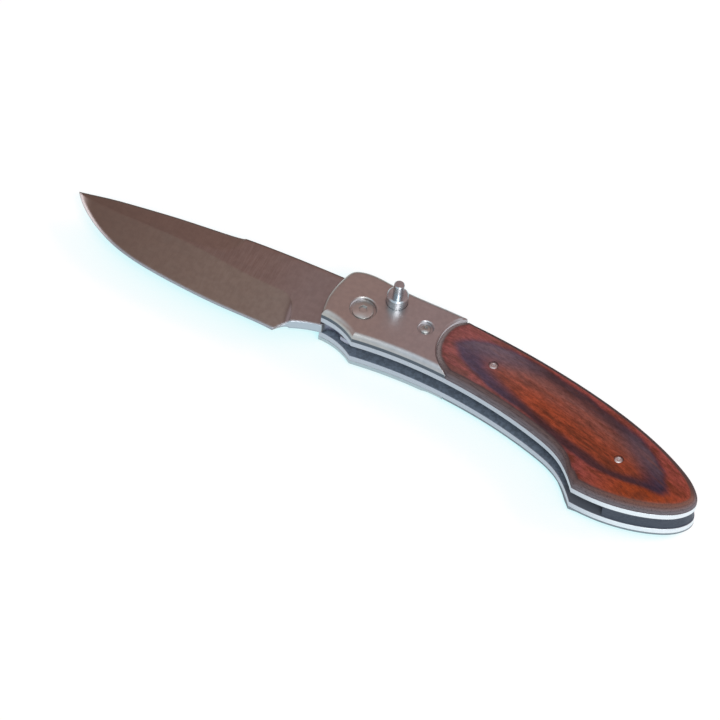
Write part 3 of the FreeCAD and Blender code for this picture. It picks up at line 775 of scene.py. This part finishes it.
def woodFace(f, along, across, marks):
    v = woodFinish
    t = f.tree
    mottle = marks["mottle"]
    streaks = marks["streaks"]
    reach = ovalReach(t, along, across, marks["wobble"])
    rearward = smooth(t, along, *v["rearAlong"])
    zones = {
        "upper": smooth(t, across, *v["upperAcross"]),  # the oval's band is broad and faint along the back
        "belly": product(t, smooth(t, across, *v["bellyAcross"]), smooth(t, along, *v["bellyAlong"])),
        "front": smooth(t, along, *v["frontAlong"]),  # and broad and dark at both ends
        "rear": product(t, rearward, smooth(t, across, *v["rearAcross"])),
    }
    inner = v["ringInner"]
    for zone, wider in v["ringWider"].items():
        inner = calc(t, "MULTIPLY_ADD", zones[zone], wider, inner)
    full = between(t, zones["front"], *v["ringFull"])
    ring = product(t, smooth(t, reach, inner, full), smooth(t, reach, *v["ringOuter"]))
    ring = product(t, ring, between(t, mottle, *v["ringMottle"]))
    ends = calc(t, "MAXIMUM", zones["front"], zones["rear"])
    ring = calc(t, "MINIMUM", ring, between(t, ends, *v["ringMost"]))
    lively = smooth(t, weigh(t, mottle, streaks, v["livelyShares"]), *v["livelyRange"])
    heart = blend(t, lively, v["heartDull"], v["heart"])
    heart = tint(t, heart, v["heartDull"], smooth(t, along, *v["dullAlong"]), v["dullShare"])
    hazy = between(t, smooth(t, streaks, *v["hazeStreaks"]), *v["hazeShares"])
    # a browner tone along the back, partly a painted sheen
    heart = tint(t, heart, v["haze"], zones["upper"], hazy)
    warm = product(t, smooth(t, along, *v["warmAlong"]), smooth(t, across, *v["warmAcross"]))
    outer = blend(t, warm, v["outer"], v["outerWarm"])
    outer = tint(t, outer, v["heartDull"], smooth(t, mottle, *v["outerMottle"]), v["outerShare"])
    colour = blend(t, smooth(t, reach, *v["outerReach"]), heart, outer)
    # painted bluish sheen on the oval at its ends
    blued = calc(t, "MAXIMUM", zones["front"], calc(t, "MULTIPLY", zones["rear"], v["ringBlueRear"]))
    colour = blend(t, ring, colour, blend(t, blued, v["ringWarm"], v["ring"]))
    strands = smooth(t, weigh(t, mottle, streaks, v["strandShares"]), *v["strandRange"])
    colour = tint(t, colour, v["heartDull"], strands, v["strandShare"])
    colour = tint(t, colour, v["pore"], smooth(t, marks["pores"], *v["poreRange"]), v["poreShare"])
    colour = tint(t, colour, v["pore"], smooth(t, marks["specks"], *v["speckRange"]), v["speckShare"])
    # painted pale sheen towards the front and along the back
    film = calc(t, "MULTIPLY", smooth(t, along, *v["filmAlong"]), v["filmShare"])
    filmBack = between(t, zones["front"], *v["filmFront"])
    filmBack = calc(t, "MAXIMUM", filmBack, calc(t, "MULTIPLY", rearward, v["filmRear"]))
    filmBack = product(t, filmBack, smooth(t, reach, *v["filmReach"]))
    film = calc(t, "MULTIPLY_ADD", smooth(t, across, *v["filmAcross"]), filmBack, film)
    colour = blend(t, film, colour, v["bloom"])
    tone = between(t, smooth(t, marks["patches"], *v["toneRange"]), *v["tones"])
    return blend(t, 1.0, colour, tone, "MULTIPLY")


rimFinish = {
    "wood": (0.115, 0.075, 0.072),
    "warm": (0.165, 0.078, 0.06),  # lighter and warmer round the butt, a painted highlight on the crest
    "foot": (0.155, 0.138, 0.15),  # greyer down by the liner
    "joint": (0.29, 0.245, 0.24),  # painted light against the bolster, where its wall shades the bevel
    "pale": (0.3, 0.38, 0.42),  # painted reflection of the table on the lower scale's rim
    # dark sheets, pores and crest line, and painted shade on the back-facing rim
    "dark": (0.035, 0.024, 0.026),
    "warmAlong": (0.3, 0.9),
    "footDepth": (0.9, 2.3),
    "sheetWaves": (9.0, 4.0),  # of the laminate's sheets, radians per millimetre down and by the mottle
    "sheetRange": (-0.4, 0.9),
    "sheetShare": 0.22,
    "aheadAlong": (-1.0, -1.16),
    "jointShare": 0.8,
    "backFacing": (0.1, 0.55),
    "backShares": (0.7, 0.0),  # and against the bolster
    "poreRange": (0.48, 0.7),
    "poreShare": 0.6,
    "crestDepths": ((0.2, 0.45), (0.9, 0.55)),  # dark line along the bevel's crest, in and out
    "crestAlong": (0.75, 0.45),
    "crestShare": 0.5,
    "paleShares": (0.6, 0.0),  # below and above the middle plane
}


def woodRim(f, along, marks):
    # the bevel cuts across the laminate's greyer sheets; on it are painted a highlight round the butt, shade on
    # the back-facing side, light against the bolster and a reflection of the table on the lower scale
    v = rimFinish
    t = f.tree
    sheets = calc(t, "SINE", weigh(t, f.depth, marks["mottle"], v["sheetWaves"]))
    # painted highlight round the butt
    colour = blend(t, smooth(t, along, *v["warmAlong"]), v["wood"], v["warm"])
    colour = blend(t, smooth(t, f.depth, *v["footDepth"]), colour, v["foot"])
    colour = tint(t, colour, v["dark"], smooth(t, sheets, *v["sheetRange"]), v["sheetShare"])
    # painted shade on the back-facing rim, eased off near the bolster
    ahead = smooth(t, along, *v["aheadAlong"])
    backShare = between(t, ahead, *v["backShares"])
    colour = tint(t, colour, v["dark"], f.looking("Y", v["backFacing"]), backShare)
    # painted light on the bevel against the bolster
    colour = tint(t, colour, v["joint"], ahead, v["jointShare"])
    colour = tint(t, colour, v["dark"], smooth(t, marks["pores"], *v["poreRange"]), v["poreShare"])
    crest = product(t, *(smooth(t, f.depth, *ends) for ends in v["crestDepths"]))
    crest = product(t, crest, smooth(t, along, *v["crestAlong"]))
    colour = tint(t, colour, v["dark"], crest, v["crestShare"])
    # painted reflection of the table on the lower scale's rim
    return blend(t, between(t, f.above, *v["paleShares"]), colour, v["pale"])


def dyedWood():
    v = woodFinish
    f = Finish("dyedWood", Coat_Roughness=0.32, Coat_IOR=1.45, Specular_IOR_Level=0.0)
    t = f.tree
    along, across, marks = woodGrain(f)
    onRim = smooth(t, f.depth, *v["rimDepth"])
    f.set("Base Color", blend(t, onRim, woodFace(f, along, across, marks), woodRim(f, along, marks)))
    f.set("Coat Weight", between(t, onRim, *v["coat"]))
    f.set("Roughness", between(t, marks["pores"], *v["rough"]))
    hollow = smooth(t, marks["pores"], *v["bumpPores"])
    f.bump(calc(t, "SUBTRACT", 1.0, hollow), *v["bump"])
    return f.material


looks = {
    "blade_steel": bladeSteel(),
    "bolster_steel": bolsterSteel(),
    "liner_steel": linerSteel(),
    "screw_steel": turnedSteel("screwSteel", screwFinish, "pivot_screw", "bolster_screw_top"),
    "button_steel": turnedSteel("buttonSteel", buttonFinish, "lock_button"),
    "spring_wire": drawnMetal("springWire", springFinish),
    "washer_bronze": drawnMetal("washerBronze", washerFinish),
    "spacer_black": spacerBlack(),
    "stained_wood": dyedWood(),
}
smallScrews = turnedSteel("smallScrewSteel", smallScrewFinish)
for sub in frame["record"]["subparts"]:
    piece = nodes[sub["node"]]
    piece.data.materials.clear()
    small = sub["node"].startswith("scale_screws")
    piece.data.materials.append(smallScrews if small else looks[sub["material_slot"]])
print("stage: finishes on", len(nodes), "nodes")

sameLevel = 0.001  # points this near in height lie on one face
decimals = 4  # corners that agree to these are one


def meshPoints(mesh):
    flat = np.empty(len(mesh.vertices) * 3)
    mesh.vertices.foreach_get("co", flat)
    return flat.reshape(-1, 3) * perMetre


def gridFaces(rows, columns):
    # quads between rows of a grid that closes round, and a fan of triangles at each end
    step = np.arange(columns)
    after = (step + 1) % columns
    base = np.arange(rows - 1)[:, None] * columns
    quads = np.stack([base + step, base + after, base + columns + after, base + columns + step], -1)
    last = (rows - 1) * columns
    low = np.stack([after, step, np.full(columns, rows * columns)], -1)
    high = np.stack([last + step, last + after, np.full(columns, rows * columns + 1)], -1)
    return quads.reshape(-1, 4).tolist() + low.tolist() + high.tolist()


def newPiece(name, points, faces):
    mesh = bpy.data.meshes.new(name)
    mesh.from_pydata((points / perMetre).tolist(), [], faces)
    mesh.update()
    piece = bpy.data.objects.new(name, mesh)
    scene.collection.objects.link(piece)
    return piece


def finishPiece(piece, node, slot, sharpAngle):
    # smooth but for its sharp edges, in its finish, in place of the node on the handle
    piece.data.polygons.foreach_set("use_smooth", np.ones(len(piece.data.polygons), bool))
    piece.data.set_sharp_from_angle(angle=math.radians(sharpAngle))
    piece.data.materials.append(looks[slot])
    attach(piece, "handle")
    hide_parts(node)


scaleShape = {
    "columns": 900,  # steps round the outline
    "middleShares": (0.566, 0.478),  # of the box, a point that sees the whole outline
    "bevel": 2.3,  # width and fall of the bevel
    "crest": 0.7,  # how softly the bevel turns into the face
    "foot": (0.6, 0.22),  # reach and drop of the round under the bevel
    "rings": (0.0, 0.1, 0.22, 0.36, 0.52, 0.7, 1.0, 1.35, 1.7,  # distances in from the outline
              1.95, 2.15, 2.35, 2.6, 2.9, 3.3, 3.9, 4.8, 6.0),
    "ringMost": 0.6,  # of the way to the middle
    "innerRings": 6,
    "slantBlend": 15,  # columns over which the rings' slant is evened
    "jointFacing": 0.72,  # how squarely the outline looks at the bolster there
    "jointShare": 0.5,  # of the bevel's fall, left against the bolster
    "jointBlend": 25,  # columns over which that comes in
    "wellPlay": 0.02,  # round each screw's head
    "wellFloor": 1.15,  # below the outer face
    "wellSides": 48,
    "wellsWithin": 2.0,  # head radii round a screw's middle that are no part of the outline
    "sharpAngle": 40.0,
}


def screwPlaces(node):
    points = meshPoints(nodes[node].data)
    rear = points[:, 0] > points[:, 0].mean()
    heads = [points[rear], points[~rear]]
    return [((head.min(0) + head.max(0))[:2] / 2, np.ptp(head[:, 0]) / 2) for head in heads]


scaleScrews = screwPlaces("scale_screws_top")


def planOutline(node):
    # corners of the inner face, less the screw holes, in order of their angle, then at even steps round
    v = scaleShape
    points = meshPoints(nodes[node].data)
    level = points[np.argmin(np.abs(points[:, 2] - middleLevel)), 2]
    onFace = np.abs(points[:, 2] - level) < sameLevel
    plan = np.unique(np.round(points[onFace, :2], decimals), axis=0)
    for spot, radius in scaleScrews:
        plan = plan[np.hypot(*(plan - spot).T) > v["wellsWithin"] * radius]
    low, high = plan.min(0), plan.max(0)
    middle = low + (high - low) * v["middleShares"]
    angle = np.arctan2(*(plan - middle).T[::-1])
    plan = plan[np.argsort(angle)]
    closed = np.vstack([plan, plan[:1]])
    travel = np.concatenate([[0], np.cumsum(np.hypot(*np.diff(closed, axis=0).T))])
    even = np.linspace(0, travel[-1], v["columns"], endpoint=False)
    return np.stack([np.interp(even, travel, closed[:, axis]) for axis in (0, 1)], -1), middle


def evened(values, width):
    # running mean round the closed outline
    return np.convolve(np.tile(values, 3), np.ones(width) / width, "same")[len(values):-len(values)]


def toOutline(points, outline):
    # least distance from each point to the outline's straight steps
    start, step = outline, np.roll(outline, -1, 0) - outline
    offset = points[:, None] - start
    share = np.clip((offset * step).sum(-1) / (step ** 2).sum(-1), 0, 1)
    return np.hypot(*np.moveaxis(offset - share[..., None] * step, -1, 0)).min(1)


def scaleFall(away):
    # fall below the face = smooth ramp of the bevel's width less the distance from the outline,
    # and a round at its foot
    v = scaleShape
    ramp = v["bevel"] - away
    reach, drop = v["foot"]
    return (ramp + np.hypot(ramp, v["crest"])) / 2 + drop * np.clip(1 - away / reach, 0, 1) ** 2


def cutWells(piece, side):
    # a round well for each screw: a cylinder from under its head to above the face, cut from the wood
    v = scaleShape
    turn = np.linspace(0, 2 * math.pi, v["wellSides"], endpoint=False)
    circle = np.column_stack([np.cos(turn), np.sin(turn)])
    ends = (coverReach - v["wellFloor"], coverReach + v["wellFloor"])
    low, high = sorted(side * end + middleLevel for end in ends)
    for spot, radius in scaleScrews:
        rim = spot + (radius + v["wellPlay"]) * circle
        rows = [np.column_stack([rim, np.full(v["wellSides"], height)]) for height in (low, high)]
        points = np.vstack([*rows, [*spot, low], [*spot, high]])
        cutter = newPiece("well", points, gridFaces(2, v["wellSides"]))
        cut = piece.modifiers.new("well", "BOOLEAN")
        cut.operation, cut.solver, cut.object = "DIFFERENCE", "EXACT", cutter
        whole = piece.evaluated_get(bpy.context.evaluated_depsgraph_get())
        opened = bpy.data.meshes.new_from_object(whole)
        piece.modifiers.clear()
        piece.data = opened
        bpy.data.objects.remove(cutter)
    piece.data.name = piece.name


def easedScale(name, node, side):
    # rings go in from the outline towards its middle, each at its own distance, and the face falls
    # towards the outline, by less against the bolster
    v = scaleShape
    outline, middle = planOutline(node)
    arm = outline - middle
    length = np.hypot(*arm.T)
    along = np.roll(outline, -1, 0) - np.roll(outline, 1, 0)
    stride = np.hypot(*along.T)
    slant = np.abs(along[:, 0] * arm[:, 1] - along[:, 1] * arm[:, 0]) / stride / length
    slant = evened(slant, v["slantBlend"])
    atJoint = along[:, 1] / stride < -v["jointFacing"]
    fall = 1 - (1 - v["jointShare"]) * evened(atJoint.astype(float), v["jointBlend"])
    shares = [np.minimum(ring / slant / length, v["ringMost"]) for ring in v["rings"]]
    last = shares[-1]
    shares += [last + (1 - last) * k / (v["innerRings"] + 1) for k in range(1, v["innerRings"] + 1)]
    plans = [outline - arm * share[:, None] for share in shares]
    face = side * coverReach
    inner = side * linerReach
    heights = [face - side * fall * scaleFall(toOutline(plan, outline)) for plan in plans]
    plans.insert(0, outline)
    heights.insert(0, np.full(v["columns"], inner))
    grid = np.concatenate([np.column_stack(pair) for pair in zip(plans, heights)])
    points = np.vstack([grid, [*middle, inner], [*middle, face]]) + (0, 0, middleLevel)
    faces = gridFaces(len(plans), v["columns"])
    piece = newPiece(name, points, faces if side > 0 else [corners[::-1] for corners in faces])
    cutWells(piece, side)
    finishPiece(piece, node, "stained_wood", v["sharpAngle"])
    print("stage:", name, "made,", len(piece.data.polygons), "faces")


easedScale("scaleTopWood", "scale_top", 1)
easedScale("scaleBottomWood", "scale_bottom", -1)

lowerBolster = {
    "round": 2.6,  # radius of its belly edge
    "cadRound": 1.7,  # the solid's own
    "bellyBelow": -2.9,  # where the belly's outline lies, so that the holes stay out of it
    "slack": 0.3,
    "sharpAngle": 30.0,
}


def softBolster(name, node):
    # a copy of the solid whose belly edge is set in by r - sqrt(r^2 - (r - h)^2) at the height h
    # above its outer face
    v = lowerBolster
    source = nodes[node].data
    points, index = np.unique(np.round(meshPoints(source), decimals), axis=0, return_inverse=True)
    index = index.reshape(-1)
    height = points[:, 2] - points[:, 2].min()
    seat = points[(height > height.max() - sameLevel) & (points[:, 1] < v["bellyBelow"])]
    seat = seat[np.argsort(seat[:, 0])]
    belly = np.interp(points[:, 0], seat[:, 0], seat[:, 1])
    slope = np.interp(points[:, 0], seat[:, 0], np.hypot(1, np.gradient(seat[:, 1], seat[:, 0])))
    edge = (height < v["cadRound"] + sameLevel) & (points[:, 0] >= seat[0, 0])
    edge &= points[:, 1] - belly < v["cadRound"] * slope + v["slack"]
    up = np.clip(v["round"] - height, 0, None)
    inset = v["round"] - np.sqrt(v["round"] ** 2 - up ** 2)
    points[edge, 1] = np.maximum(points[edge, 1], (belly + slope * inset)[edge])
    faces = [[int(index[corner]) for corner in polygon.vertices] for polygon in source.polygons]
    piece = newPiece(name, points, [face for face in faces if len(set(face)) == len(face)])
    finishPiece(piece, node, "bolster_steel", v["sharpAngle"])
    print("stage:", name, "made,", len(piece.data.polygons), "faces,", int(edge.sum()), "points moved")


softBolster("bolsterBottomSteel", "bolster_bottom")

studio = {
    "floorHalf": 6.0,  # metres
    "floorGlow": (0.41, 0.88, 0.945),  # what is left of the pale table in full shade
    "floorLit": (0.63, 0.135, 0.065),  # what the light adds
    "mirrorGlow": (0.52, 0.68, 0.74),  # the same two, as polished pieces reflect them
    "mirrorLit": (0.36, 0.3, 0.26),
    "floorBounce": (0.8, 0.8, 0.8),
    "roomDim": (0.34, 0.28, 0.26),  # low behind the knife
    "roomMid": (0.5, 0.345, 0.325),
    "roomBright": (0.84, 0.98, 1.06),  # above and in front
    "roomSeen": (1.0, 1.0, 1.0),  # past the table's far side
    "roomToward": (0.15, -0.75, 0.64),
    "roomDimRange": (-0.6, 0.0),
    "roomBrightRange": (0.4, 0.85),
    "frontLamp": {  # stands beside the camera
        "from": (0.45, -0.7, 1.0),  # metres
        "size": 0.5,
        "watts": 6.0,
        "colour": (1.0, 0.98, 0.97),
        "gleams": True,
    },
    "windowLamp": {  # low, from behind on the right, for the soft shadow in front
        "from": (1.0, 0.8, 0.62),
        "size": 1.0,
        "watts": 14.0,
        "colour": (1.0, 0.97, 0.94),
        "gleams": False,
    },
}


def addFloor():
    v = studio
    h = v["floorHalf"]
    mesh = bpy.data.meshes.new("table")
    mesh.from_pydata([(-h, -h, 0), (h, -h, 0), (h, h, 0), (-h, h, 0)], [], [(0, 1, 2, 3)])
    table = bpy.data.objects.new("table", mesh)
    scene.collection.objects.link(table)
    material = bpy.data.materials.new("paleTable")
    material.use_nodes = True
    t = material.node_tree
    t.nodes.clear()
    path = t.nodes.new("ShaderNodeLightPath").outputs
    mirrored = path["Is Glossy Ray"]
    glowColour = blend(t, mirrored, v["floorGlow"], v["mirrorGlow"])
    litColour = blend(t, mirrored, v["floorLit"], v["mirrorLit"])
    glow = put(t, "ShaderNodeEmission", {"Color": glowColour}).outputs[0]
    lit = put(t, "ShaderNodeBsdfDiffuse", {"Color": litColour}).outputs[0]
    bounce = put(t, "ShaderNodeBsdfDiffuse", {"Color": (*v["floorBounce"], 1)}).outputs[0]
    seen = put(t, "ShaderNodeAddShader", {0: glow, 1: lit}).outputs[0]
    direct = calc(t, "MAXIMUM", path["Is Camera Ray"], mirrored)
    direct = calc(t, "MAXIMUM", direct, path["Is Transmission Ray"])
    mixed = put(t, "ShaderNodeMixShader", {0: direct, 1: bounce, 2: seen}).outputs[0]
    put(t, "ShaderNodeOutputMaterial", {"Surface": mixed})
    mesh.materials.append(material)


def addRoom():
    v = studio
    world = bpy.data.worlds.new("room")
    scene.world = world
    world.use_nodes = True
    t = world.node_tree
    t.nodes.clear()
    direction = t.nodes.new("ShaderNodeTexCoord").outputs["Generated"]
    toward = vectorCalc(t, "DOT_PRODUCT", direction, v["roomToward"], outlet="Value")
    colour = blend(t, smooth(t, toward, *v["roomDimRange"]), v["roomDim"], v["roomMid"])
    colour = blend(t, smooth(t, toward, *v["roomBrightRange"]), colour, v["roomBright"])
    seen = t.nodes.new("ShaderNodeLightPath").outputs["Is Camera Ray"]
    colour = blend(t, seen, colour, v["roomSeen"])
    background = put(t, "ShaderNodeBackground", {"Color": colour, "Strength": 1.0}).outputs[0]
    put(t, "ShaderNodeOutputWorld", {"Surface": background})


def addLamp(name):
    v = studio[name]
    lamp = bpy.data.lights.new(name, "AREA")
    lamp.energy = v["watts"]
    lamp.size = v["size"]
    lamp.color = v["colour"]
    holder = bpy.data.objects.new(name, lamp)
    place = Vector(v["from"])
    turn = (-place).to_track_quat("-Z", "Y").to_matrix().to_4x4()
    holder.matrix_world = Matrix.Translation(place) @ turn
    holder.visible_camera = False
    holder.visible_glossy = v["gleams"]
    scene.collection.objects.link(holder)


addFloor()
addRoom()
addLamp("frontLamp")
addLamp("windowLamp")
scene.view_settings.view_transform = "Standard"
print("stage: table, room and lamp set")
